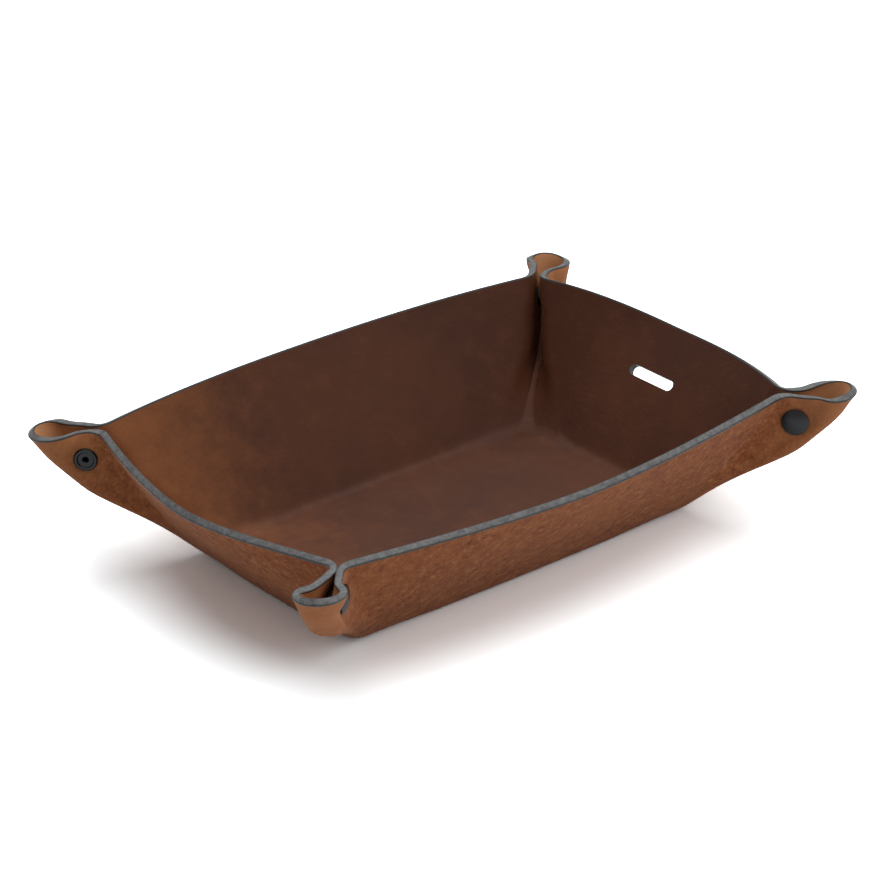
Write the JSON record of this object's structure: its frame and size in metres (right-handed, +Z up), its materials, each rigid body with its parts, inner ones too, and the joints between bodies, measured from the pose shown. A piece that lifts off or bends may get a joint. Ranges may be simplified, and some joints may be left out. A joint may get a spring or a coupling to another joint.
{
  "type": "valet tray",
  "caption": "Rectangular leather valet tray with outward-bowed walls, pinched to an ear at each corner by a press stud, with a rounded cable slot in one end wall.",
  "frame": {"origin": "middle of the flat floor's underside, on the surface that the tray stands on", "axes": "+X along the long walls, from the near corner's end to the slotted end wall; +Y along the short walls; +Z up"},
  "size_m": [0.276, 0.1946, 0.0567],
  "materials": {
    "leather": "waxed pull-up grain inside, brushed flesh side outside, painted edge",
    "blackened_brass": "black oxide, satin"
  },
  "bodies": {
    "tray": {"leather_tray": "leather", "near_snap_cap": "blackened_brass", "near_snap_socket": "blackened_brass", "left_snap_cap": "blackened_brass", "left_snap_socket": "blackened_brass", "far_snap_cap": "blackened_brass", "far_snap_socket": "blackened_brass", "right_snap_cap": "blackened_brass", "right_snap_socket": "blackened_brass"},
    "near_stud": {"near_snap_stud": "blackened_brass", "near_snap_post": "blackened_brass"},
    "left_stud": {"left_snap_stud": "blackened_brass", "left_snap_post": "blackened_brass"},
    "far_stud": {"far_snap_stud": "blackened_brass", "far_snap_post": "blackened_brass"},
    "right_stud": {"right_snap_stud": "blackened_brass", "right_snap_post": "blackened_brass"}
  },
  "joints": [
    {"name": "near_snap_release", "type": "slide", "parent": "tray", "child": "near_stud", "axis": [-0.6056, 0.7958, 0], "range_m": [0, 0.005], "deforming": ["leather_tray"]},
    {"name": "left_snap_release", "type": "slide", "parent": "tray", "child": "left_stud", "axis": [-0.6956, -0.7185, 0], "range_m": [0, 0.005], "deforming": ["leather_tray"]},
    {"name": "far_snap_release", "type": "slide", "parent": "tray", "child": "far_stud", "axis": [0.5675, -0.8234, 0], "range_m": [0, 0.005], "deforming": ["leather_tray"]},
    {"name": "right_snap_release", "type": "slide", "parent": "tray", "child": "right_stud", "axis": [0.7533, 0.6577, 0], "range_m": [0, 0.005], "deforming": ["leather_tray"]}
  ]
}
